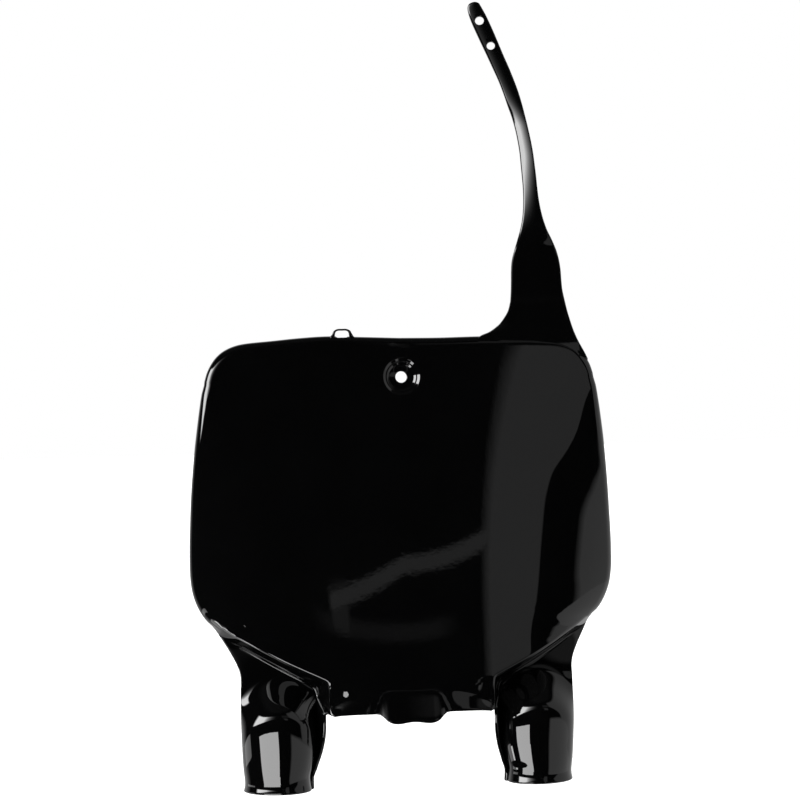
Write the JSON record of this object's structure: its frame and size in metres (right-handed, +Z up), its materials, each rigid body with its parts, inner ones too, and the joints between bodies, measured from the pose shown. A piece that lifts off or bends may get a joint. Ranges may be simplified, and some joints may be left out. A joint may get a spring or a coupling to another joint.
{
  "type": "motorcycle front number board",
  "caption": "One-piece moulded racing number board with a rolled edge, half-round fork legs, a bolt seat, a cable eye and a handlebar strap.",
  "frame": {"origin": "centre of the bolt hole, on the floor of its seat", "axes": "+X to the right seen from the front, +Y to the back towards the fork, +Z up"},
  "size_m": [0.333, 0.0732, 0.6154],
  "materials": {
    "moulding": "gloss black moulded plastic"
  },
  "bodies": {
    "root": {"number_plate": "moulding"}
  },
  "joints": []
}
